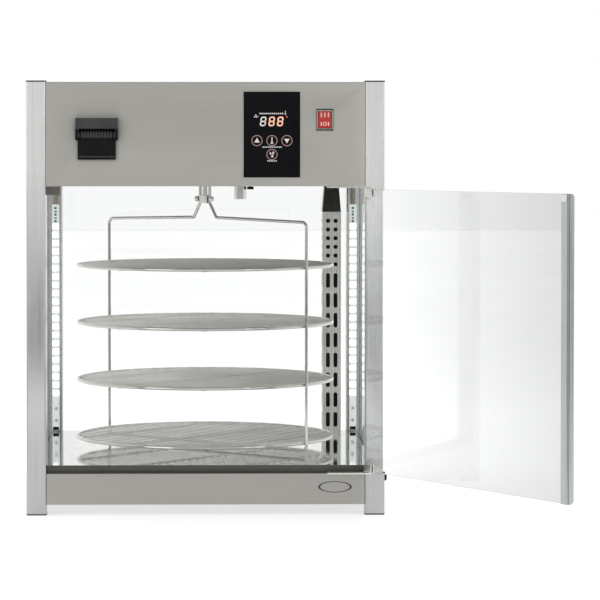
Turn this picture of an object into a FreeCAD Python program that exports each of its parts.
import FreeCAD, Part
import Sketcher
import math
import os
import re

# Countertop heated and humidified display cabinet: four square posts carry a glass
# chamber, a head full of equipment and a low base. A wire carousel with four round
# racks hangs from a gearmotor in the head. The glass door stands open at rest.
# Origin: centre of the footprint on the counter. +Z up, the front faces -Y.

doc = FreeCAD.newDocument("DisplayCabinet")
sheet = doc.addObject("Spreadsheet::Sheet", "Sizes")

# alias, millimetres or degrees
SIZES = """
cabinet_width 540
cabinet_depth 560
cabinet_height 655
post_side 30
post_corner 3
post_bore 18
cap_thickness 2
pad_thickness 2
sheet_metal 1.5
panel_setback 0.5
flange_width 20
base_low 16
base_high 62.7
floor_level 74
floor_setback 15
head_low 496
glass_thickness 4
glass_inset 4
groove_depth 5
groove_play 0.2
door_glass_thickness 5
pivot_side_inset 26
door_face_gap 4
door_low_gap 1.5
door_high_gap 2.3
door_free_gap 5
door_edge_past_pivot 4
handle_width 14
handle_depth 14
handle_grip 9
door_open_angle 122
hinge_plate_thickness 2.2
hinge_plate_length 66
hinge_pin_radius 2.5
running_play 0.05
clamp_length 18
clamp_height 12
clamp_wall 2
clamp_web 1
bolt_head_radius 7
bolt_head_height 4
bolt_crown_radius 2.5
bolt_radius 4
bolt_level 57
catch_width 21
catch_height 13
catch_depth 18
catch_gap 0.7
strike_thickness 1
rack_diameter 412
rim_rod_radius 2.5
grid_rod_radius 1.1
grid_pitch 18
support_rod_radius 1.8
support_spacing 130
first_rack_rise 19
rack_pitch 91.2
frame_rod_radius 2.5
frame_bend 9
frame_low_bend 8
frame_low_gap 11
weld_bite 0.2
carousel_yaw 41
arm_fall 58.5
arm_drop 1.5
diagonal_foot 23.5
shaft_radius 4
shaft_fall 29.5
shaft_rise 13
hub_radius 7.5
hub_half_depth 5
hub_fall 31
hub_height 13
thumb_rise 7
thumb_screw_radius 1.2
thumb_head_radius 4.4
thumb_head_length 6
clamp_nut_length 3
rod_top_gap 4
pivot_pin_radius 2
bush_radius 7
bush_height 4
boss_radius 10.5
gear_case_side 60
gear_case_height 26
motor_radius 25
motor_height 36
motor_screw_offset 22
screw_radius 2
screw_head_radius 4
screw_head_height 2.5
led_bar_inset 19
led_bar_width 12
led_bar_thickness 1.4
led_bar_rise 3
led_bar_length 381
led_first_rise 65
led_pitch 14.1
led_side 5
led_height 0.9
duct_post_gap 42
duct_rear_gap 25
duct_width 31
duct_depth 40
duct_hood_height 51.5
duct_wall 1.2
duct_hole_radius 3.5
duct_hole_spacing 12.6
duct_hole_rise 284
duct_hole_pitch 14.6
duct_slot_length 24.5
duct_slot_width 6.6
duct_slot_rise 23
duct_slot_pitch 33.4
hood_top_width 22.5
hood_top_depth 32
panel_centre_offset 99.7
control_rise 13.4
control_width 85
control_height 128.8
control_thickness 1.5
key_radius 8.4
key_play 0.15
key_travel 0.5
key_pitch 22.5
key_row_rise 55.3
key_row_drop 20.8
key_stem_radius 3
board_gap 12
board_thickness 1.6
switch_offset 179.3
switch_rise 100
bezel_width 25
bezel_height 32
bezel_thickness 2
switch_body_width 22
switch_body_height 30.4
switch_body_depth 22
rocker_width 19.6
rocker_half_height 13.2
rocker_play 0.4
rocker_throw 8
rocker_pivot_depth 6
trunnion_radius 1.5
filler_offset 163.5
filler_rise 42
hood_rise 8.6
hood_height 15.9
filler_width 55
filler_hood_width 63.5
filler_hood_reach 14
filler_plate 3
flap_width 57
flap_length 37.8
flap_thickness 3
flap_pivot_rise 36
flap_pivot_reach 6
flap_barrel_radius 5.5
flap_pin_radius 1.5
ear_width 3.2
spout_width 42
spout_height 24
spout_rise 6
spout_wall 2.5
spout_length 24
tank_width 84
tank_depth 86
tank_height 91
tank_wall 2
outlet_offset 56.5
outlet_fall 24.5
outlet_across_flats 17
outlet_stem_radius 6
boiler_radius 24
boiler_height 90
probe_offset 72.6
probe_fall 6.7
probe_radius 2.3
probe_length 10.7
probe_stem_radius 1.5
fan_side 50
fan_depth 20
fan_hole_radius 23
fan_hub_radius 10
fan_blade_count 7
fan_blade_pitch 35
fan_blade_thickness 1.2
fan_blade_width 11
fan_pin_radius 1.5
heater_width 17
heater_depth 25
heater_length 34
heater_plate 1.5
inlet_offset 190
inlet_rise 44
inlet_width 27
inlet_height 20
inlet_body_depth 24
inlet_flange 4
vent_slot_length 60
vent_slot_height 4
vent_slot_pitch 12
"""

ALIASES = []
for row, line in enumerate(SIZES.split("\n")[1:-1], start=1):
    alias, number = line.split()
    sheet.set(f"A{row}", alias)
    sheet.set(f"B{row}", number)
    sheet.setAlias(f"B{row}", alias)
    ALIASES.append(alias)
doc.recompute()

RACK_COUNT = 4
HOLE_ROWS = 6
SLOT_ROWS = 8
LED_COUNT = 21

# Places that several sub-parts share, as formulas of the sheet's names
SIDE = "(cabinet_width / 2)"
FRONT = "(cabinet_depth / 2)"
POST_X = "(cabinet_width / 2 - post_side)"
POST_Y = "(cabinet_depth / 2 - post_side)"
PANEL_X = "(cabinet_width / 2 - panel_setback)"
PANEL_Y = "(cabinet_depth / 2 - panel_setback)"
INNER_X = f"({PANEL_X} - sheet_metal)"
INNER_Y = f"({PANEL_Y} - sheet_metal)"
HEAD_TOP = "(cabinet_height - cap_thickness)"
COVER_LOW = f"({HEAD_TOP} - sheet_metal)"
HEAD_FLOOR = "(head_low + sheet_metal)"
HEAD_DECK = "(head_low + 2 * sheet_metal)"
GLASS_X = "(cabinet_width / 2 - glass_inset)"
GLASS_Y = "(cabinet_depth / 2 - glass_inset)"
PIVOT_X = "(cabinet_width / 2 - pivot_side_inset)"
PIVOT_Y = "(-cabinet_depth / 2 - door_face_gap - door_glass_thickness / 2)"
RACK_RADIUS = "(rack_diameter / 2)"
DUCT_X = f"({POST_X} - duct_post_gap)"
DUCT_Y = "(cabinet_depth / 2 - duct_rear_gap)"
FACE = f"(-{PANEL_Y})"
DOOR_LOW = "(base_high + hinge_plate_thickness + door_low_gap)"
DOOR_HIGH = "(head_low - hinge_plate_thickness - door_high_gap)"
DOOR_REACH = f"({PIVOT_X} + {POST_X} - door_free_gap)"
FIRST_RACK = "(floor_level + first_rack_rise)"
LED_BAR_LOW = "(floor_level + led_bar_rise)"
LED_FIRST = "(floor_level + led_first_rise)"
DUCT_HIGH = f"({HEAD_FLOOR} - duct_hood_height)"
DUCT_FIRST_HOLE = "(floor_level + duct_hole_rise)"
DUCT_FIRST_SLOT = "(floor_level + duct_slot_rise)"
ARM_LEVEL = "(head_low - arm_fall)"
SHAFT_LOW = "(head_low - shaft_fall)"
SHAFT_HIGH = f"({HEAD_DECK} + shaft_rise)"
HUB_LOW = "(head_low - hub_fall)"
THUMB_LEVEL = f"({HUB_LOW} + thumb_rise)"
OUTLET_LOW = "(head_low - outlet_fall)"
PROBE_LEVEL = "(head_low - probe_fall)"
CONTROL_LOW = "(head_low + control_rise)"
KEY_ROW = f"({CONTROL_LOW} + key_row_rise)"
SWITCH_LEVEL = "(head_low + switch_rise)"
FILLER_LOW = "(head_low + filler_rise)"
FLAP_PIVOT = f"({FILLER_LOW} + flap_pivot_rise)"
FLAP_LOW = f"({FLAP_PIVOT} - flap_length)"
HOOD_LOW = f"({FLAP_PIVOT} + hood_rise)"
HOOD_HIGH = f"({HOOD_LOW} + hood_height)"
SPOUT_LOW = f"({FILLER_LOW} + spout_rise)"
INLET_LEVEL = "(head_low + inlet_rise)"

CABINET = []        # every finished sub-part, in the order it is written


def size(formula):
    """The number that a name or a formula of names comes to."""
    return float(sheet.evalExpression(tied(formula)))


def tied(formula):
    """The same formula with its names read from the sheet."""
    return re.sub(r"[a-z]+(?:_[a-z]+)+",
                  lambda found: "Sizes." + found.group(0) if found.group(0) in ALIASES
                  else found.group(0), str(formula))


def tie(piece, **formulas):
    """Binds properties of a piece, and x, y and z of its place, to formulas."""
    for name, formula in formulas.items():
        path = f"Placement.Base.{name}" if name in ("x", "y", "z") else name
        piece.setExpression(path, tied(formula))
    return piece


def box(name, low, high):
    """Block between two corners, each three formulas."""
    piece = doc.addObject("Part::Box", name)
    length, width, height = [f"({b}) - ({a})" for a, b in zip(low, high)]
    return tie(piece, Length=length, Width=width, Height=height, x=low[0], y=low[1], z=low[2])


def plate(name, centre, half, low, high):
    """Upright or lying block, centred in X and Y."""
    (cx, cy), (hx, hy) = centre, half
    return box(name, (f"{cx} - ({hx})", f"{cy} - ({hy})", low),
               (f"{cx} + ({hx})", f"{cy} + ({hy})", high))


TURNS = {"Z": FreeCAD.Rotation(),
         "X": FreeCAD.Rotation(FreeCAD.Vector(0, 1, 0), 90),
         "Y": FreeCAD.Rotation(FreeCAD.Vector(1, 0, 0), -90)}


def rod(name, axis, radius, start, length):
    """Cylinder from a start point along +X, +Y or +Z."""
    piece = doc.addObject("Part::Cylinder", name)
    piece.Placement = FreeCAD.Placement(FreeCAD.Vector(), TURNS[axis])
    return tie(piece, Radius=radius, Height=length, x=start[0], y=start[1], z=start[2])


def fuse(name, pieces):
    """One solid from several that meet or overlap."""
    piece = doc.addObject("Part::MultiFuse", name)
    piece.Shapes = pieces
    piece.Refine = True
    return piece


def group(name, pieces):
    """Separate solids that share one name."""
    piece = doc.addObject("Part::Compound", name)
    piece.Links = pieces
    return piece


def cut(name, base, tools):
    """A piece with several others taken out of it."""
    piece = doc.addObject("Part::Cut", name)
    piece.Base = base
    piece.Tool = tools[0] if len(tools) == 1 else fuse(name + "_tools", tools)
    return piece


def rounded(name, base, radius, chooser):
    """A piece with the edges that the chooser picks rounded."""
    doc.recompute()
    piece = doc.addObject("Part::Fillet", name)
    piece.Base = base
    amount = size(radius)
    piece.Edges = [(number, amount, amount) for number, edge
                   in enumerate(base.Shape.Edges, start=1) if chooser(edge)]
    return piece


def upright(edge):
    """True for a straight edge along Z."""
    ends = [vertex.Point for vertex in edge.Vertexes]
    return len(ends) == 2 and abs((ends[0] - ends[1]).normalize().z) > 0.999


def finish(name, piece):
    """Names a finished sub-part; the name is its file's name."""
    piece.Label = name
    CABINET.append(piece)
    return piece


def turned(piece, angle, x="0", y="0", z="0"):
    """Turns a finished piece about +Z through a point of the cabinet."""
    piece.Placement = FreeCAD.Placement(FreeCAD.Vector(), FreeCAD.Rotation(
        FreeCAD.Vector(0, 0, 1), 1))
    piece.setExpression("Placement.Rotation.Angle", tied(angle))
    return tie(piece, x=x, y=y, z=z)


def rectangle(sketch, tag, width, height):
    """Closed rectangle from the sketch's origin, held by two named distances."""
    corners = [(0, 0), (1, 0), (1, 1), (0, 1)]
    first = sketch.GeometryCount
    for here, there in zip(corners, corners[1:] + corners[:1]):
        sketch.addGeometry(Part.LineSegment(FreeCAD.Vector(*here, 0), FreeCAD.Vector(*there, 0)))
    for side in range(4):
        sketch.addConstraint(Sketcher.Constraint(
            "Coincident", first + side, 2, first + (side + 1) % 4, 1))
        level = "Horizontal" if side % 2 == 0 else "Vertical"
        sketch.addConstraint(Sketcher.Constraint(level, first + side))
    sketch.addConstraint(Sketcher.Constraint("Coincident", first, 1, -1, 1))
    for kind, point, formula in (("DistanceX", 1, width), ("DistanceY", 2, height)):
        number = sketch.addConstraint(Sketcher.Constraint(kind, -1, 1, first + point, 2, 5.0))
        sketch.renameConstraint(number, f"{tag}_{kind}")
        sketch.setExpression(f"Constraints.{tag}_{kind}", tied(formula))


def padded_bar(name, width, depth, height):
    """Body: a rectangle on the XY plane padded upwards from its own corner."""
    body = doc.addObject("PartDesign::Body", name)
    sketch = body.newObject("Sketcher::SketchObject", name + "_outline")
    plane = [item for item in body.Origin.OriginFeatures if item.Role == "XY_Plane"][0]
    sketch.AttachmentSupport = [(plane, "")]
    sketch.MapMode = "FlatFace"
    rectangle(sketch, "side", width, depth)
    pad = body.newObject("PartDesign::Pad", name + "_pad")
    pad.Profile = sketch
    pad.setExpression("Length", tied(height))
    doc.recompute()
    return body, pad


def round_body(body, feature, radius, chooser):
    """Fillet feature on the chosen edges of a body."""
    edges = [f"Edge{number}" for number, edge in enumerate(feature.Shape.Edges, start=1)
             if chooser(edge)]
    fillet = body.newObject("PartDesign::Fillet", body.Name + "_fillet")
    fillet.Base = (feature, edges)
    fillet.setExpression("Radius", tied(radius))
    doc.recompute()
    return fillet


# Posts: hollow square extrusions, grooved for the panes, with a cap and a foot each

def post(name, side, front):
    """One corner post. side is +1 on the right, front is +1 at the front."""
    body, pad = padded_bar(name + "_bar", "post_side", "post_side",
                           f"{HEAD_TOP} - pad_thickness")
    round_body(body, pad, "post_corner", upright)
    x = POST_X if side > 0 else f"-{SIDE}"
    y = f"-{FRONT}" if front > 0 else POST_Y
    tie(body, x=x, y=y, z="pad_thickness")
    middle_x = f"{side} * ({SIDE} - post_side / 2)"
    middle_y = f"{-front} * ({FRONT} - post_side / 2)"
    tools = [rod(name + "_bore", "Z", "post_bore / 2", (middle_x, middle_y, "0"), "cabinet_height")]
    outer, inner = f"({GLASS_X} + groove_play)", f"({GLASS_X} - glass_thickness - groove_play)"
    across = (inner, outer) if side > 0 else (f"-{outer}", f"-{inner}")
    along = ((f"-{POST_Y} - groove_depth", f"-{POST_Y}") if front > 0
             else (POST_Y, f"{POST_Y} + groove_depth"))
    tools.append(box(name + "_side_groove", (across[0], along[0], "base_high"),
                     (across[1], along[1], "head_low")))
    if front < 0:
        reach = ((POST_X, f"{POST_X} + groove_depth") if side > 0
                 else (f"-{POST_X} - groove_depth", f"-{POST_X}"))
        tools.append(box(name + "_rear_groove",
                         (reach[0], f"{GLASS_Y} - glass_thickness - groove_play", "base_high"),
                         (reach[1], f"{GLASS_Y} + groove_play", "head_low")))
    if front > 0 and side > 0:
        tools.append(rod(name + "_bolt_hole", "X", "bolt_radius + running_play",
                         (middle_x, middle_y, "bolt_level"), "post_side"))
    finish(name, cut(name, body, tools))


def corner_pads(name, low, high):
    """Four square pads, one on or under each post."""
    pads = []
    for side in (1, -1):
        for front in (1, -1):
            centre = (f"{side} * ({SIDE} - post_side / 2)", f"{front} * ({FRONT} - post_side / 2)")
            block = plate(f"{name}_{len(pads)}", centre, ("post_side / 2", "post_side / 2"),
                          low, high)
            pads.append(rounded(f"{name}_{len(pads)}_round", block, "post_corner", upright))
    finish(name, group(name, pads))


# Sheet-metal panels: a face with a flange turned in at its top and bottom

def channel(name, low, high, face):
    """Folded panel between two corners; face tells which side stays closed."""
    outer = box(name + "_outer", low, high)
    (x0, y0, z0), (x1, y1, z1) = low, high
    wall = {"front": ((x0, f"{y0} + sheet_metal"), (x1, y1)),
            "rear": ((x0, y0), (x1, f"{y1} - sheet_metal")),
            "left": ((f"{x0} + sheet_metal", y0), (x1, y1)),
            "right": ((x0, y0), (f"{x1} - sheet_metal", y1))}[face]
    hollow = box(name + "_hollow", (*wall[0], f"{z0} + sheet_metal"),
                 (*wall[1], f"{z1} - sheet_metal"))
    return cut(name + "_fold", outer, [hollow])


def panel_ring(level, low, high, front_tools, rear_tools):
    """Front, rear and side panels of one level, between the posts."""
    front = channel(f"{level}_front", (f"-{POST_X}", f"-{PANEL_Y}", low),
                    (POST_X, f"-{PANEL_Y} + flange_width", high), "front")
    rear = channel(f"{level}_rear", (f"-{POST_X}", f"{PANEL_Y} - flange_width", low),
                   (POST_X, PANEL_Y, high), "rear")
    for name, panel, tools in ((f"{level}_front_panel", front, front_tools),
                               (f"{level}_rear_panel", rear, rear_tools)):
        finish(name, cut(name, panel, tools) if tools else panel)
    left = channel(f"{level}_left", (f"-{PANEL_X}", f"-{POST_Y}", low),
                   (f"-{PANEL_X} + flange_width", POST_Y, high), "left")
    right = channel(f"{level}_right", (f"{PANEL_X} - flange_width", f"-{POST_Y}", low),
                    (PANEL_X, POST_Y, high), "right")
    finish(f"{level}_side_panels", group(f"{level}_side_panels", [left, right]))


def deck(name, low, half_x, half_y, tools, thickness="sheet_metal"):
    """Level sheet with its corners notched round the posts."""
    sheet_block = plate(name + "_sheet", ("0", "0"), (half_x, half_y), low, f"{low} + {thickness}")
    notches = corner_notches(name, low, f"{low} + {thickness}")
    finish(name, cut(name, sheet_block, notches + tools))


def corner_notches(name, low, high):
    """Blocks that clear the four posts."""
    notches = []
    for side in (1, -1):
        for front in (1, -1):
            centre = (f"{side} * ({SIDE} - post_side / 2)", f"{front} * ({FRONT} - post_side / 2)")
            half = ("post_side / 2", "post_side / 2")
            notches.append(plate(f"{name}_notch_{len(notches)}", centre, half, low, high))
    return notches


def head():
    """Head panels with their cut-outs, the ceiling of the chamber and the top cover."""
    through = (f"{FACE} - 1", f"{FACE} + sheet_metal + 1")
    switch_hole = box("switch_hole",
                      ("switch_offset - switch_body_width / 2", through[0],
                       f"{SWITCH_LEVEL} - switch_body_height / 2"),
                      ("switch_offset + switch_body_width / 2", through[1],
                       f"{SWITCH_LEVEL} + switch_body_height / 2"))
    filler_hole = box("filler_hole",
                      ("-filler_offset - spout_width / 2 - spout_wall", through[0],
                       f"{SPOUT_LOW} - spout_wall"),
                      ("-filler_offset + spout_width / 2 + spout_wall", through[1],
                       f"{SPOUT_LOW} + spout_height + spout_wall"))
    stem_holes = [rod(f"stem_hole_{name}", "Y", "key_stem_radius + 0.5",
                      (x, through[0], z), "sheet_metal + 2") for name, x, z in key_places()]
    inlet_hole = box("inlet_hole",
                     ("-inlet_offset - inlet_width / 2", f"{INNER_Y} - 1",
                      f"{INLET_LEVEL} - inlet_height / 2"),
                     ("-inlet_offset + inlet_width / 2", f"{PANEL_Y} + 1",
                      f"{INLET_LEVEL} + inlet_height / 2"))
    vents = [box(f"vent_{i}",
                 ("-vent_slot_length / 2", f"{INNER_Y} - 1", f"{INLET_LEVEL} + {i} * vent_slot_pitch"),
                 ("vent_slot_length / 2", f"{PANEL_Y} + 1",
                  f"{INLET_LEVEL} + {i} * vent_slot_pitch + vent_slot_height")) for i in range(6)]
    panel_ring("head", "head_low", COVER_LOW, [switch_hole, filler_hole] + stem_holes,
               [inlet_hole] + vents)
    deck("head_top_cover", COVER_LOW, PANEL_X, PANEL_Y, [])
    fan_x, fan_y = fan_centre()
    passages = [rod("boss_hole", "Z", "boss_radius + 0.5", ("0", "0", "head_low"), "10"),
                rod("outlet_hole", "Z", "outlet_stem_radius + 0.2",
                    ("outlet_offset", "0", "head_low"), "10"),
                rod("probe_hole", "Z", "probe_stem_radius + 0.1",
                    ("probe_offset", "0", "head_low"), "10"),
                plate("heater_hole", (fan_x, fan_y), ("heater_width / 2 + 0.5",
                      "heater_depth / 2 + 0.5"), "head_low", "head_low + 10")]
    for i, (x, y) in enumerate(motor_corners()):
        passages.append(rod(f"motor_hole_{i}", "Z", "screw_radius + 0.2", (x, y, "head_low"), "10"))
    deck("head_floor", HEAD_FLOOR, INNER_X, INNER_Y, passages)


def base():
    """Base panels, the tray under them and the polished chamber floor."""
    panel_ring("base", "base_low", "base_high", [], [])
    deck("base_tray", "base_low + sheet_metal", INNER_X, INNER_Y, [])
    half = (f"({SIDE} - floor_setback)", f"({FRONT} - floor_setback)")
    outer = plate("floor_outer", ("0", "0"), half, "base_high", "floor_level")
    hollow = plate("floor_hollow", ("0", "0"), (f"({half[0]} - sheet_metal)",
                   f"({half[1]} - sheet_metal)"), "base_high", "floor_level - sheet_metal")
    finish("floor_plate", cut("floor_plate", outer,
                              [hollow] + corner_notches("floor", "base_high", "floor_level")))


# Glass

def fixed_glass():
    """Left, right and rear panes, held in the posts' grooves."""
    reach = f"({POST_Y} + groove_depth - groove_play)"
    for name, low, high in (
            ("glass_left", f"-{GLASS_X}", f"-{GLASS_X} + glass_thickness"),
            ("glass_right", f"{GLASS_X} - glass_thickness", GLASS_X)):
        finish(name, box(name, (low, f"-{reach}", "base_high"), (high, reach, "head_low")))
    reach = f"({POST_X} + groove_depth - groove_play)"
    finish("glass_rear", box("glass_rear", (f"-{reach}", f"{GLASS_Y} - glass_thickness", "base_high"),
                             (reach, GLASS_Y, "head_low")))


# Door: drawn closed, with its pivot line at its own origin, then turned open

def door():
    """Glass, free-edge handle, corner clamps with pins, and the catch's strike."""
    half = "door_glass_thickness / 2"
    glass = box("door_pane", (f"-{DOOR_REACH} + handle_width - handle_grip", f"-{half}", DOOR_LOW),
                ("door_edge_past_pivot", half, DOOR_HIGH))
    bar, pad = padded_bar("handle_bar", "handle_width", "handle_depth", f"{DOOR_HIGH} - {DOOR_LOW}")
    round_body(bar, pad, "post_corner", upright)
    tie(bar, x=f"-{DOOR_REACH}", y="-handle_depth / 2", z=DOOR_LOW)
    slot = box("handle_slot", (f"-{DOOR_REACH} + handle_width - handle_grip", f"-{half}", f"{DOOR_LOW} - 1"),
               (f"-{DOOR_REACH} + handle_width + 1", half, f"{DOOR_HIGH} + 1"))
    handle = cut("handle_profile", bar, [slot])
    clamps = []
    for name, near, far, pin_low, pin_high in (
            ("upper", f"{DOOR_HIGH} - clamp_height", f"{DOOR_HIGH} + clamp_web", f"{DOOR_HIGH} + clamp_web",
             "head_low - 0.2"),
            ("lower", f"{DOOR_LOW} + clamp_height", f"{DOOR_LOW} - clamp_web", "base_high + 0.2",
             f"{DOOR_LOW} - clamp_web")):
        low, high = (near, far) if name == "upper" else (far, near)
        block = box(f"{name}_clamp", ("-clamp_length + door_edge_past_pivot",
                    f"-{half} - clamp_wall", low), ("door_edge_past_pivot",
                    f"{half} + clamp_wall", high))
        glass_slot = box(f"{name}_clamp_slot", ("-clamp_length", f"-{half}", DOOR_LOW),
                         ("door_edge_past_pivot", half, DOOR_HIGH))
        pin = rod(f"{name}_pin", "Z", "hinge_pin_radius", ("0", "0", pin_low),
                  f"{pin_high} - ({pin_low})")
        clamps.append(fuse(f"{name}_pivot", [cut(f"{name}_clamp_body", block, [glass_slot]), pin]))
    strike = box("strike", (f"-{DOOR_REACH} + 2", "handle_depth / 2",
                 f"{DOOR_HIGH} - catch_height + 2"), (f"-{DOOR_REACH} + handle_width - 1",
                 "handle_depth / 2 + strike_thickness", f"{DOOR_HIGH} - 1"))
    for name, pieces in (("door_glass", [glass]), ("door_handle", [handle]),
                         ("door_pivots", clamps), ("door_strike", [strike])):
        finish(name, turned(group(name, pieces), "door_open_angle", PIVOT_X, PIVOT_Y))


def hinges():
    """Two hinge plates, the catch under the head and the bolt on the right post."""
    plates = []
    for name, low in (("upper", "head_low - hinge_plate_thickness"), ("lower", "base_high")):
        front_edge = f"{PIVOT_Y} - hinge_pin_radius - 4"
        tongue = box(f"{name}_tongue", (f"{PIVOT_X} + 5 - hinge_plate_length", front_edge, low),
                     (f"{PIVOT_X} + 5", f"-{FRONT}", f"{low} + hinge_plate_thickness"))
        root_back = "-4 + floor_setback"
        root = box(f"{name}_root", (f"{PIVOT_X} + 5 - hinge_plate_length", f"-{FRONT}", low),
                   (POST_X, f"-{FRONT} + {root_back}", f"{low} + hinge_plate_thickness"))
        bore = rod(f"{name}_bore", "Z", "hinge_pin_radius + running_play",
                   (PIVOT_X, PIVOT_Y, f"{low} - 1"), "hinge_plate_thickness + 2")
        plates.append(cut(f"{name}_hinge", fuse(f"{name}_blank", [tongue, root]), [bore]))
    finish("hinge_plates", group("hinge_plates", plates))
    y = f"-{FRONT} + post_side / 2"
    head = rod("bolt_dome", "X", "bolt_head_radius", (SIDE, y, "bolt_level"), "bolt_head_height")
    rounded_head = rounded("bolt_crown", head, "bolt_crown_radius",
                           lambda edge: edge.BoundBox.XMin > size("cabinet_width") / 2 + 1
                           and edge.BoundBox.YLength > 5)
    socket = doc.addObject("Part::Prism", "bolt_socket")
    socket.Polygon = 6
    socket.Placement = FreeCAD.Placement(FreeCAD.Vector(), TURNS["X"])
    tie(socket, Circumradius="bolt_radius * 0.7", Height="bolt_head_height",
        x=f"{SIDE} + bolt_head_height / 2", y=y, z="bolt_level")
    shank = rod("bolt_shank", "X", "bolt_radius", (f"{SIDE} - post_side / 2", y, "bolt_level"),
                "post_side / 2")
    finish("hinge_bolt", cut("hinge_bolt", fuse("bolt_blank", [rounded_head, shank]), [socket]))
    face = f"{PIVOT_Y} + handle_depth / 2 + strike_thickness + catch_gap"
    shell = box("catch_shell", (f"-{POST_X} + 0.2", face, "head_low - catch_height"),
                (f"-{POST_X} + catch_width", f"{face} + catch_depth", "head_low"))
    window = box("catch_window", (f"-{POST_X} + 3", f"{face} - 1", "head_low - catch_height + 3"),
                 (f"-{POST_X} + catch_width - 3", f"{face} + 1.5", "head_low - 3"))
    finish("magnet_catch", cut("magnet_catch", shell, [window]))


# Carousel: drawn with its wire frame in the XZ plane, then turned to its rest angle

def bent_rod(name, points, bends, radius):
    """Round rod along straight runs joined by tangent arcs."""
    edges = []
    start = points[0]
    for before, corner, after, bend in zip(points, points[1:], points[2:], bends):
        back = (before - corner).normalize()
        ahead = (after - corner).normalize()
        half = (math.pi - back.getAngle(ahead)) / 2
        tangent = bend * math.tan(half)
        entry, leave = corner + back * tangent, corner + ahead * tangent
        centre = corner + (back + ahead).normalize() * (bend / math.cos(half))
        middle = centre + (corner - centre).normalize() * bend
        edges.append(Part.LineSegment(start, entry).toShape())
        edges.append(Part.Arc(entry, middle, leave).toShape())
        start = leave
    edges.append(Part.LineSegment(start, points[-1]).toShape())
    ring = Part.Wire([Part.Circle(points[0], points[1] - points[0], radius).toShape()])
    piece = doc.addObject("Part::Feature", name)
    piece.Shape = Part.Wire(edges).makePipeShell([ring], True, False, 2)
    return piece


def carousel_frame():
    """One rod from the hub out, down past the racks and back under them."""
    reach = size("rack_diameter") / 2 + size("frame_rod_radius") - size("weld_bite")
    low = size(FIRST_RACK) - size("frame_low_gap")
    rise = (reach - size("diagonal_foot")) * math.tan(math.radians(size("arm_drop")))
    foot = size(ARM_LEVEL) + rise
    beside = size("hub_radius") + size("frame_rod_radius")
    knee = size(HUB_LOW)
    top = size("head_low - rod_top_gap")
    bend = size("frame_bend")
    half = [(beside, top), (beside, knee), (size("diagonal_foot"), foot),
            (reach, size(ARM_LEVEL)), (reach, low)]
    outline = half + [(-x, z) for x, z in reversed(half)]
    points = [FreeCAD.Vector(x, 0, z) for x, z in outline]
    small, low_bend = bend / 3, size("frame_low_bend")
    loop = bent_rod("frame_loop", points, [small, small, bend, low_bend, low_bend, bend, small, small],
                    size("frame_rod_radius"))
    pin = rod("frame_pin", "Z", "pivot_pin_radius", ("0", "0", "floor_level + 1.5"),
              f"{low} - floor_level - 1.5")
    drilled = rod("frame_drilling", "X", "thumb_screw_radius + running_play",
                  ("-hub_radius - 10", "0", THUMB_LEVEL), "2 * hub_radius + 20")
    frame = cut("rack_frame_drilled", fuse("rack_frame_blank", [loop, pin]), [drilled])
    finish("rack_frame", turned(group("rack_frame", [frame]), "-carousel_yaw"))


def racks():
    """Four wire racks: a rim, close parallel wires and cross bars under them."""
    rim = doc.addObject("Part::Torus", "rim")
    tie(rim, Radius1=f"{RACK_RADIUS} - rim_rod_radius", Radius2="rim_rod_radius")
    rods = [rim]
    wire_reach = f"({RACK_RADIUS} - rim_rod_radius)"
    count = int((size("rack_diameter") / 2 - 2 * size("rim_rod_radius")) / size("grid_pitch"))
    for i in range(-count, count + 1):
        half = f"sqrt({wire_reach}^2 - ({i} * grid_pitch)^2)"
        rods.append(rod(f"wire_{i + count}", "X", "grid_rod_radius",
                        (f"-{half}", f"{i} * grid_pitch", "rim_rod_radius / 2 - 0.2"),
                        f"2 * {half}"))
    for i in (-1, 0, 1):
        half = f"sqrt({wire_reach}^2 - ({i} * support_spacing)^2)"
        level = "(rim_rod_radius / 2 - grid_rod_radius - support_rod_radius)"
        rods.append(rod(f"support_{i + 1}", "Y", "support_rod_radius",
                        (f"{i} * support_spacing", f"-{half}", level), f"2 * {half}"))
    rack = fuse("rack_pattern", rods)
    rack.Refine = False
    for i in range(RACK_COUNT):
        name = f"rack_{i + 1}"
        finish(name, turned(group(name, [rack]), "-carousel_yaw",
                            z=f"{FIRST_RACK} + {i} * rack_pitch"))


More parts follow.
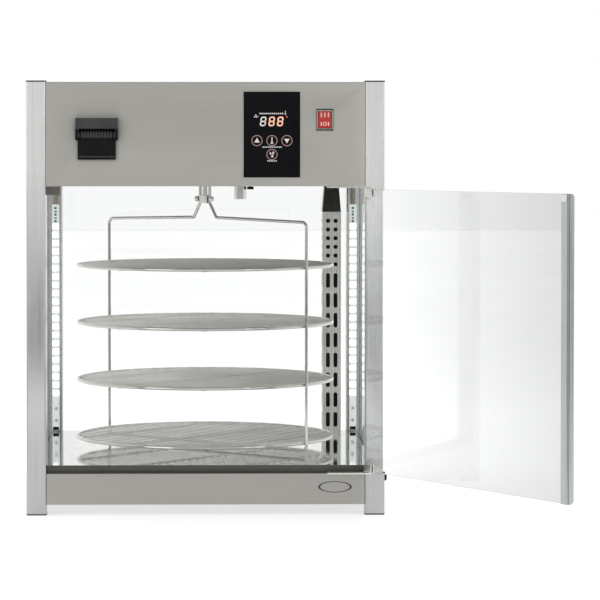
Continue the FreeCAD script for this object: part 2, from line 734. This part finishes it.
def drive():
    """Gearmotor with its boss through the ceiling, shaft, hub and thumb screw."""
    shaft = rod("shaft_bar", "Z", "shaft_radius", ("0", "0", SHAFT_LOW),
                f"{SHAFT_HIGH} - {SHAFT_LOW}")
    cross = rod("shaft_drilling", "X", "thumb_screw_radius + running_play",
                ("-shaft_radius - 1", "0", THUMB_LEVEL), "2 * shaft_radius + 2")
    finish("drive_shaft", turned(group("drive_shaft", [cut("shaft_drilled", shaft, [cross])]),
                                 "-carousel_yaw"))
    outer_x = "(hub_radius + 2 * frame_rod_radius)"
    block = box("hub_block", ("-hub_radius", "-hub_half_depth", HUB_LOW),
                ("hub_radius", "hub_half_depth", f"{HUB_LOW} + hub_height"))
    bore = rod("hub_bore", "Z", "shaft_radius", ("0", "0", SHAFT_LOW), "hub_height")
    thread = rod("hub_thread", "X", "thumb_screw_radius + running_play",
                 ("-hub_radius - 20", "0", THUMB_LEVEL), "40 + hub_radius")
    nut = rod("clamp_nut", "X", "thumb_head_radius", (outer_x, "0", THUMB_LEVEL),
              "clamp_nut_length")
    hub = cut("hub_blank", group("hub_pieces", [block, nut]), [bore, thread])
    finish("shaft_hub", turned(group("shaft_hub", [hub]), "-carousel_yaw"))
    stem = rod("thumb_stem", "X", "thumb_screw_radius", (f"-{outer_x} - 0.5", "0", THUMB_LEVEL),
               f"2 * {outer_x} + clamp_nut_length + 2")
    head_block = rod("thumb_head", "X", "thumb_head_radius",
                     (f"-{outer_x} - 0.3 - thumb_head_length", "0", THUMB_LEVEL),
                     "thumb_head_length")
    finish("thumb_screw", turned(group("thumb_screw", [fuse("thumb_blank", [stem, head_block])]),
                                 "-carousel_yaw"))
    bush = rod("bush_body", "Z", "bush_radius", ("0", "0", "floor_level"), "bush_height")
    hole = rod("bush_bore", "Z", "pivot_pin_radius + running_play", ("0", "0", "floor_level + 1"),
               "bush_height")
    finish("floor_bush", cut("floor_bush", bush, [hole]))
    half = "gear_case_side / 2"
    case = plate("gear_case", ("0", "0"), (half, half), HEAD_DECK, f"{HEAD_DECK} + gear_case_height")
    can = rod("motor_can", "Z", "motor_radius", ("0", "0", f"{HEAD_DECK} + gear_case_height"),
              "motor_height")
    boss = rod("motor_boss", "Z", "boss_radius", ("0", "0", HEAD_FLOOR),
               f"{HEAD_DECK} - {HEAD_FLOOR}")
    bores = [rod("shaft_bore", "Z", "shaft_radius + running_play", ("0", "0", f"{HEAD_FLOOR} - 1"),
                 f"{SHAFT_HIGH} - {HEAD_FLOOR} + 2")]
    screws = []
    for i, (x, y) in enumerate(motor_corners()):
        bores.append(rod(f"case_thread_{i}", "Z", "screw_radius", (x, y, HEAD_DECK), "8"))
        shank = rod(f"motor_shank_{i}", "Z", "screw_radius", (x, y, HEAD_FLOOR), "6 + sheet_metal")
        dome = rod(f"motor_dome_{i}", "Z", "screw_head_radius",
                   (x, y, f"{HEAD_FLOOR} - screw_head_height"), "screw_head_height")
        screws.append(fuse(f"motor_screw_{i}", [shank, dome]))
    finish("gearmotor", cut("gearmotor", fuse("motor_blank", [case, can, boss]), bores))
    finish("motor_screws", group("motor_screws", screws))


def motor_corners():
    """Places of the four screws that hold the gearmotor."""
    offset = "motor_screw_offset"
    return [(a + offset, b + offset) for a in ("", "-") for b in ("", "-")]


# Lighting

def led_bars():
    """A strip of lights on the front face of each rear post."""
    for name, side in (("led_bar_left", -1), ("led_bar_right", 1)):
        centre = f"{side} * ({SIDE} - led_bar_inset)"
        back = POST_Y
        board = box(name + "_board", (f"{centre} - led_bar_width / 2",
                    f"{back} - led_bar_thickness", LED_BAR_LOW),
                    (f"{centre} + led_bar_width / 2", back, f"{LED_BAR_LOW} + led_bar_length"))
        lights = [box(f"{name}_light_{i}",
                      (f"{centre} - led_side / 2", f"{back} - led_bar_thickness - led_height",
                       f"{LED_FIRST} + {i} * led_pitch - led_side / 2"),
                      (f"{centre} + led_side / 2", f"{back} - led_bar_thickness",
                       f"{LED_FIRST} + {i} * led_pitch + led_side / 2"))
                  for i in range(LED_COUNT)]
        finish(name, fuse(name, [board] + lights))


# Warm air: perforated column, tapered hood, heater and fan

def fan_centre():
    """Middle line of the duct, the heater and the fan."""
    return f"({DUCT_X} + duct_width / 2)", f"({DUCT_Y} - duct_depth / 2)"


def wedge(name, low_half, top_half, low, high):
    """Upright taper from one centred rectangle to a smaller one."""
    x, y = fan_centre()
    piece = doc.addObject("Part::Wedge", name)
    piece.Placement = FreeCAD.Placement(FreeCAD.Vector(), FreeCAD.Rotation(
        FreeCAD.Vector(1, 0, 0), 90))
    tie(piece, Xmin=f"-{low_half[0]}", Xmax=low_half[0], Zmin=f"-{low_half[1]}", Zmax=low_half[1],
        X2min=f"-{top_half[0]}", X2max=top_half[0], Z2min=f"-{top_half[1]}", Z2max=top_half[1],
        Ymin="0", Ymax=f"{high} - ({low})", x=x, y=y, z=low)
    return piece


def air_duct():
    """Column with round holes above and slots below, on the front and the inner side."""
    x, y = fan_centre()
    half = ("(duct_width / 2)", "(duct_depth / 2)")
    inner = ("(duct_width / 2 - duct_wall)", "(duct_depth / 2 - duct_wall)")
    shell = plate("duct_shell", (x, y), half, "floor_level", DUCT_HIGH)
    tools = [plate("duct_bore", (x, y), inner, "floor_level + duct_wall", f"{DUCT_HIGH} + 1")]
    front = (f"{y} - duct_depth / 2 - 1", "duct_wall + 2")
    side = (f"{x} - duct_width / 2 - 1", "duct_wall + 2")
    for row in range(HOLE_ROWS):
        level = f"{DUCT_FIRST_HOLE} + {row} * duct_hole_pitch"
        for i, shift in enumerate(("- duct_hole_spacing / 2", "+ duct_hole_spacing / 2")):
            tools.append(rod(f"front_hole_{row}_{i}", "Y", "duct_hole_radius",
                             (f"{x} {shift}", front[0], level), front[1]))
            tools.append(rod(f"side_hole_{row}_{i}", "X", "duct_hole_radius",
                             (side[0], f"{y} {shift}", level), side[1]))
    for row in range(SLOT_ROWS):
        level = f"{DUCT_FIRST_SLOT} + {row} * duct_slot_pitch"
        ends = [f"{level} - duct_slot_length / 2 + duct_slot_width / 2",
                f"{level} + duct_slot_length / 2 - duct_slot_width / 2"]
        for i, shift in enumerate(("- duct_hole_spacing / 2", "+ duct_hole_spacing / 2")):
            tag = f"slot_{row}_{i}"
            tools.append(box(f"front_{tag}", (f"{x} {shift} - duct_slot_width / 2", front[0],
                         ends[0]), (f"{x} {shift} + duct_slot_width / 2",
                         f"{front[0]} + {front[1]}", ends[1])))
            tools.append(box(f"side_{tag}", (side[0], f"{y} {shift} - duct_slot_width / 2",
                         ends[0]), (f"{side[0]} + {side[1]}",
                         f"{y} {shift} + duct_slot_width / 2", ends[1])))
            for k, end in enumerate(ends):
                tools.append(rod(f"front_{tag}_end_{k}", "Y", "duct_slot_width / 2",
                                 (f"{x} {shift}", front[0], end), front[1]))
                tools.append(rod(f"side_{tag}_end_{k}", "X", "duct_slot_width / 2",
                                 (side[0], f"{y} {shift}", end), side[1]))
    finish("duct_column", cut("duct_column", shell, tools))
    top, top_inner = ("(hood_top_width / 2)", "(hood_top_depth / 2)"), (
        "(hood_top_width / 2 - duct_wall)", "(hood_top_depth / 2 - duct_wall)")
    outer = wedge("hood_outer", half, top, DUCT_HIGH, HEAD_FLOOR)
    bore = wedge("hood_bore", inner, top_inner, DUCT_HIGH, HEAD_FLOOR)
    finish("duct_hood", cut("duct_hood", outer, [bore]))


def heater_and_fan():
    """Finned heater hanging into the hood, with the fan on top of its plate."""
    x, y = fan_centre()
    side = ("fan_side / 2", "fan_side / 2")
    flange = plate("heater_flange", (x, y), side, HEAD_DECK, f"{HEAD_DECK} + heater_plate")
    block = plate("heater_block", (x, y), ("heater_width / 2", "heater_depth / 2"),
                  f"{HEAD_DECK} - heater_length", HEAD_DECK)
    gaps = [plate(f"heater_gap_{i}", (x, f"({y} + ({i - 2}) * heater_depth / 5)"),
                  ("heater_width / 2 - 2", "heater_depth / 14"),
                  f"{HEAD_DECK} - heater_length - 1", f"{HEAD_DECK} + heater_plate + 1")
            for i in range(5)]
    finish("heater_element", cut("heater_element", fuse("heater_blank", [flange, block]), gaps))
    low = f"({HEAD_DECK} + heater_plate)"
    frame = plate("fan_block", (x, y), side, low, f"{low} + fan_depth")
    ring = rod("fan_hole", "Z", "fan_hole_radius", (x, y, f"{low} - 1"), "fan_depth + 2")
    arms = [plate("fan_arm_x", (x, y), ("fan_hole_radius + 1", "2"), f"{low} + fan_depth - 3",
                  f"{low} + fan_depth"),
            plate("fan_arm_y", (x, y), ("2", "fan_hole_radius + 1"), f"{low} + fan_depth - 3",
                  f"{low} + fan_depth"),
            rod("fan_motor", "Z", "fan_hub_radius", (x, y, f"{low} + fan_depth - 5"), "5"),
            rod("fan_pin", "Z", "fan_pin_radius", (x, y, f"{low} + 3"), "fan_depth - 6")]
    finish("fan_frame", fuse("fan_frame", [cut("fan_ring", frame, [ring])] + arms))
    hub = rod("impeller_hub", "Z", "fan_hub_radius", ("0", "0", "0"), "fan_depth - 8")
    blades = []
    for i in range(int(size("fan_blade_count"))):
        blade = box(f"blade_{i}", ("fan_hub_radius - 1", "-fan_blade_width / 2",
                    "-fan_blade_thickness / 2"), ("fan_hole_radius - 1.2", "fan_blade_width / 2",
                    "fan_blade_thickness / 2"))
        turn = FreeCAD.Rotation(FreeCAD.Vector(0, 0, 1), 360 * i / size("fan_blade_count"))
        tilt = FreeCAD.Rotation(FreeCAD.Vector(1, 0, 0), size("fan_blade_pitch"))
        holder = group(f"blade_holder_{i}", [blade])
        holder.Placement = FreeCAD.Placement(FreeCAD.Vector(0, 0, size("fan_depth") / 2 - 4),
                                             turn.multiply(tilt))
        blades.append(holder)
    bore = rod("impeller_bore", "Z", "fan_pin_radius + running_play", ("0", "0", "-1"), "fan_depth")
    wheel = cut("fan_wheel", fuse("fan_blank", [hub] + blades), [bore])
    finish("fan_impeller", tie(group("fan_impeller", [wheel]), x=x, y=y, z=f"{low} + 2"))


# Controls

def key_places():
    """Name and place of each key on the control panel."""
    top, low = KEY_ROW, f"{KEY_ROW} - key_row_drop"
    return [("key_up", "panel_centre_offset - key_pitch", top),
            ("key_heat", "panel_centre_offset", top),
            ("key_down", "panel_centre_offset + key_pitch", top),
            ("key_humidity", "panel_centre_offset", low)]


def controls():
    """Overlay, four keys and the board behind them."""
    low_x, high_x = ("panel_centre_offset - control_width / 2",
                     "panel_centre_offset + control_width / 2")
    front = f"({FACE} - control_thickness)"
    sheet_block = box("overlay_sheet", (low_x, front, CONTROL_LOW),
                      (high_x, FACE, f"{CONTROL_LOW} + control_height"))
    holes = [rod(f"overlay_hole_{name}", "Y", "key_radius + key_play", (x, f"{front} - 1", z),
                 "control_thickness + 2") for name, x, z in key_places()]
    finish("control_overlay", cut("control_overlay", sheet_block, holes))
    board_front = f"({FACE} + sheet_metal + board_gap)"
    for name, x, z in key_places():
        disc = rod(f"{name}_disc", "Y", "key_radius", (x, front, z),
                   "control_thickness - key_travel - 0.1")
        stem = rod(f"{name}_stem", "Y", "key_stem_radius", (x, front, z),
                   f"{board_front} - 2 - key_travel - 0.1 - {front}")
        finish(name, fuse(name, [disc, stem]))
    board = box("board_sheet", (f"{low_x} + 5", board_front, f"{CONTROL_LOW} + 8"),
                (f"{high_x} - 5", f"{board_front} + board_thickness",
                 f"{CONTROL_LOW} + control_height - 8"))
    parts = [board]
    parts += [rod(f"tact_{name}", "Y", "key_stem_radius", (x, f"{board_front} - 2", z), "2.5")
              for name, x, z in key_places()]
    for i, (x, z) in enumerate([(x, z) for x in (f"{low_x} + 10", f"{high_x} - 10") for z in (
            f"{CONTROL_LOW} + 13", f"{CONTROL_LOW} + control_height - 13")]):
        parts.append(rod(f"standoff_{i}", "Y", "3", (x, f"{FACE} + sheet_metal", z), "board_gap"))
    finish("control_board", fuse("control_board", parts))


def power_switch():
    """Switch body with its bezel, and the rocker on two trunnions."""
    half_w, half_h = "rocker_width / 2 + rocker_play", "switch_body_height / 2 - 0.9"
    pivot = f"({FACE} - bezel_thickness + rocker_pivot_depth)"
    bezel = box("bezel", ("switch_offset - bezel_width / 2", f"{FACE} - bezel_thickness",
                f"{SWITCH_LEVEL} - bezel_height / 2"), ("switch_offset + bezel_width / 2", FACE,
                f"{SWITCH_LEVEL} + bezel_height / 2"))
    body = box("switch_block", ("switch_offset - switch_body_width / 2", FACE,
               f"{SWITCH_LEVEL} - switch_body_height / 2"),
               ("switch_offset + switch_body_width / 2", f"{FACE} + switch_body_depth",
                f"{SWITCH_LEVEL} + switch_body_height / 2"))
    blades = [box(f"terminal_{i}", ("switch_offset - 3", f"{FACE} + switch_body_depth",
              f"{SWITCH_LEVEL} + ({i}) * 8 - 0.4"), ("switch_offset + 3",
              f"{FACE} + switch_body_depth + 9", f"{SWITCH_LEVEL} + ({i}) * 8 + 0.4"))
              for i in (-1, 1)]
    pocket = box("switch_pocket", (f"switch_offset - ({half_w})", f"{FACE} - bezel_thickness - 1",
                 f"{SWITCH_LEVEL} - ({half_h})"), (f"switch_offset + {half_w}",
                 f"{FACE} + switch_body_depth - 5", f"{SWITCH_LEVEL} + {half_h}"))
    trunnion_hole = rod("trunnion_hole", "X", "trunnion_radius + running_play",
                        ("switch_offset - rocker_width / 2 - 0.9", pivot, SWITCH_LEVEL),
                        "rocker_width + 1.8")
    finish("switch_body", cut("switch_body", fuse("switch_blank", [bezel, body] + blades),
                              [pocket, trunnion_hole]))
    depth, reach = size("rocker_pivot_depth") - 1, size("rocker_half_height")
    lift = reach * math.tan(math.radians(size("rocker_throw")))
    profile = [(-depth - lift, reach), (-depth, 0), (-depth - lift, -reach),
               (0.5, -reach + 1.5), (4.5, -5), (4.5, 5), (0.5, reach - 1.5)]
    points = [FreeCAD.Vector(0, y, z) for y, z in profile]
    face = Part.Face(Part.makePolygon(points + points[:1]))
    key = doc.addObject("Part::Feature", "rocker_key")
    key.Shape = face.extrude(FreeCAD.Vector(size("rocker_width"), 0, 0))
    key.Placement = FreeCAD.Placement(FreeCAD.Vector(-size("rocker_width") / 2, 0, 0),
                                      FreeCAD.Rotation())
    axle = rod("rocker_axle", "X", "trunnion_radius", ("-rocker_width / 2 - 0.8", "0", "0"),
               "rocker_width + 1.6")
    rocker = fuse("rocker_blank", [key, axle])
    holder = group("switch_rocker", [rocker])
    holder.Placement = FreeCAD.Placement(FreeCAD.Vector(), FreeCAD.Rotation(
        FreeCAD.Vector(1, 0, 0), -size("rocker_throw")))
    finish("switch_rocker", tie(holder, x="switch_offset", y=pivot, z=SWITCH_LEVEL))


# Water: filler with its flap, tank, boiler and steam outlet; probe beside it

def filler():
    """Moulded housing with a hood, two ears and a spout, and the flap on its pin."""
    x = "-filler_offset"
    pivot_y = f"({FACE} - flap_pivot_reach)"
    plate_block = box("filler_face", (f"{x} - filler_width / 2", f"{FACE} - filler_plate",
                      FILLER_LOW), (f"{x} + filler_width / 2", FACE, HOOD_HIGH))
    hood = box("filler_hood", (f"{x} - filler_hood_width / 2", f"{FACE} - filler_hood_reach",
               HOOD_LOW), (f"{x} + filler_hood_width / 2", FACE, HOOD_HIGH))
    ears = [box(f"filler_ear_{side}",
                (f"{x} + ({side}) * (flap_width / 2 + 0.2 + ear_width / 2) - ear_width / 2",
                 f"{FACE} - 2 * flap_pivot_reach", f"{FLAP_PIVOT} - 9"),
                (f"{x} + ({side}) * (flap_width / 2 + 0.2 + ear_width / 2) + ear_width / 2",
                 FACE, HOOD_LOW)) for side in (-1, 1)]
    spout = box("filler_spout", (f"{x} - spout_width / 2 - spout_wall", FACE,
                f"{SPOUT_LOW} - spout_wall"), (f"{x} + spout_width / 2 + spout_wall",
                f"{FACE} + spout_length", f"{SPOUT_LOW} + spout_height + spout_wall"))
    mouth = box("filler_mouth", (f"{x} - spout_width / 2", f"{FACE} - filler_plate - 1",
                SPOUT_LOW), (f"{x} + spout_width / 2", f"{FACE} + spout_length + 1",
                f"{SPOUT_LOW} + spout_height"))
    relief = box("barrel_relief", (f"{x} - filler_width / 2 - 1", f"{FACE} - filler_plate - 1",
                 f"{FLAP_PIVOT} - 7.5"), (f"{x} + filler_width / 2 + 1", f"{FACE} - 0.2",
                 f"{FLAP_PIVOT} + 7.5"))
    pin_hole = rod("pin_hole", "X", "flap_pin_radius",
                   (f"{x} - flap_width / 2 - ear_width - 1", pivot_y, FLAP_PIVOT),
                   "flap_width + 2 * ear_width + 2")
    face = cut("filler_face_relieved", plate_block, [relief])
    finish("filler_housing", cut("filler_housing", fuse("filler_blank", [face, hood, spout] + ears),
                                 [mouth, pin_hole]))
    finish("flap_pin", rod("flap_pin", "X", "flap_pin_radius",
                           (f"{x} - flap_width / 2 - ear_width", pivot_y, FLAP_PIVOT),
                           "flap_width + 2 * ear_width + 0.4"))
    back = f"({FACE} - filler_plate - 0.3)"
    leaf = box("flap_leaf", (f"{x} - flap_width / 2", f"{back} - flap_thickness", FLAP_LOW),
               (f"{x} + flap_width / 2", back, FLAP_PIVOT))
    barrel = rod("flap_barrel", "X", "flap_barrel_radius",
                 (f"{x} - flap_width / 2", pivot_y, FLAP_PIVOT), "flap_width")
    lip = box("flap_lip", (f"{x} - flap_width / 2", f"{back} - flap_thickness - 2",
              f"{FLAP_LOW} + 2"), (f"{x} + flap_width / 2", f"{back} - flap_thickness",
              f"{FLAP_LOW} + 5"))
    bore = rod("flap_bore", "X", "flap_pin_radius + running_play",
               (f"{x} - flap_width / 2 - 1", pivot_y, FLAP_PIVOT), "flap_width + 2")
    finish("filler_flap", cut("filler_flap", fuse("flap_blank", [leaf, barrel, lip]), [bore]))


def water_and_steam():
    """Tank behind the spout, boiler, the hexagonal steam outlet and the probe."""
    x = "(-filler_offset)"
    front = f"({FACE} + spout_length - tank_wall)"
    outer = box("tank_outer", (f"{x} - tank_width / 2", front, HEAD_DECK),
                (f"{x} + tank_width / 2", f"{front} + tank_depth", f"{HEAD_DECK} + tank_height"))
    bore = box("tank_bore", (f"{x} - tank_width / 2 + tank_wall", f"{front} + tank_wall",
               f"{HEAD_DECK} + tank_wall"), (f"{x} + tank_width / 2 - tank_wall",
               f"{front} + tank_depth - tank_wall", f"{HEAD_DECK} + tank_height - tank_wall"))
    inlet = box("tank_inlet", (f"{x} - spout_width / 2 - spout_wall", f"{front} - 1",
                f"{SPOUT_LOW} - spout_wall"), (f"{x} + spout_width / 2 + spout_wall",
                f"{front} + tank_wall + 1", f"{SPOUT_LOW} + spout_height + spout_wall"))
    finish("water_tank", cut("water_tank", outer, [bore, inlet]))
    boiler = rod("boiler_can", "Z", "boiler_radius", ("outlet_offset", "0",
                 f"{HEAD_DECK} + 3"), "boiler_height")
    foot = rod("boiler_foot", "Z", "outlet_stem_radius + 3", ("outlet_offset", "0", HEAD_DECK), "3")
    socket = rod("boiler_socket", "Z", "outlet_stem_radius",
                 ("outlet_offset", "0", f"{HEAD_DECK} - 1"), "13")
    finish("steam_boiler", cut("steam_boiler", fuse("boiler_blank", [boiler, foot]), [socket]))
    nut = doc.addObject("Part::Prism", "outlet_nut")
    nut.Polygon = 6
    tie(nut, Circumradius="outlet_across_flats / sqrt(3)", Height=f"{HEAD_FLOOR} - {OUTLET_LOW}",
        x="outlet_offset", y="0", z=OUTLET_LOW)
    stem = rod("outlet_stem", "Z", "outlet_stem_radius", ("outlet_offset", "0", HEAD_FLOOR), "13")
    bore = rod("outlet_bore", "Z", "outlet_stem_radius / 2",
               ("outlet_offset", "0", f"{OUTLET_LOW} - 1"), "60")
    finish("steam_outlet", cut("steam_outlet", fuse("outlet_blank", [nut, stem]), [bore]))
    tip = rod("probe_tip", "X", "probe_radius", ("probe_offset - probe_length / 2", "0",
              PROBE_LEVEL), "probe_length")
    neck = rod("probe_neck", "Z", "probe_stem_radius", ("probe_offset", "0", PROBE_LEVEL),
               f"{HEAD_DECK} + 2 - {PROBE_LEVEL}")
    finish("temperature_probe", fuse("temperature_probe", [tip, neck]))


def power_inlet():
    """Appliance inlet in the rear panel: a flange outside, a body inside, three blades."""
    x, z = "(-inlet_offset)", INLET_LEVEL
    flange = plate("inlet_flange_plate", (x, f"({PANEL_Y} + 1)"),
                   ("(inlet_width / 2 + inlet_flange)", "1"),
                   f"{z} - inlet_height / 2 - inlet_flange", f"{z} + inlet_height / 2 + inlet_flange")
    body = plate("inlet_block", (x, f"({PANEL_Y} - inlet_body_depth / 2)"),
                 ("inlet_width / 2", "inlet_body_depth / 2"),
                 f"{z} - inlet_height / 2", f"{z} + inlet_height / 2")
    socket = plate("inlet_socket", (x, f"({PANEL_Y} - 6)"), ("(inlet_width / 2 - 2)", "9"),
                   f"{z} - inlet_height / 2 + 2", f"{z} + inlet_height / 2 - 2")
    pins = [plate(f"inlet_pin_{i}", (f"({x} + ({i}) * 7)", f"({PANEL_Y} - 8.5)"), ("1", "7.5"),
                  f"{z} - 2", f"{z} + 2") for i in (-1, 0, 1)]
    shell = cut("inlet_shell", fuse("inlet_blank", [flange, body]), [socket])
    finish("power_inlet", fuse("power_inlet", [shell] + pins))


for post_name, post_side_sign, post_front_sign in (
        ("post_front_left", -1, 1), ("post_front_right", 1, 1),
        ("post_rear_left", -1, -1), ("post_rear_right", 1, -1)):
    post(post_name, post_side_sign, post_front_sign)
corner_pads("post_caps", HEAD_TOP, "cabinet_height")
corner_pads("foot_pads", "0", "pad_thickness")
head()
base()
fixed_glass()
door()
hinges()
carousel_frame()
racks()
drive()
led_bars()
air_duct()
heater_and_fan()
controls()
power_switch()
filler()
water_and_steam()
power_inlet()
doc.recompute()

faults = [item.Label for item in doc.Objects
          if "Invalid" in item.State or "Error" in item.State]
for piece in CABINET:
    if piece.Shape.isNull() or not piece.Shape.isValid() or not piece.Shape.Solids:
        faults.append(piece.Label)
if faults:
    raise SystemExit("these did not build: " + ", ".join(sorted(set(faults))))

os.makedirs("parts", exist_ok=True)
for piece in CABINET:
    piece.Shape.exportStep(f"parts/{piece.Label}.step")
print(len(CABINET), "sub-parts written")
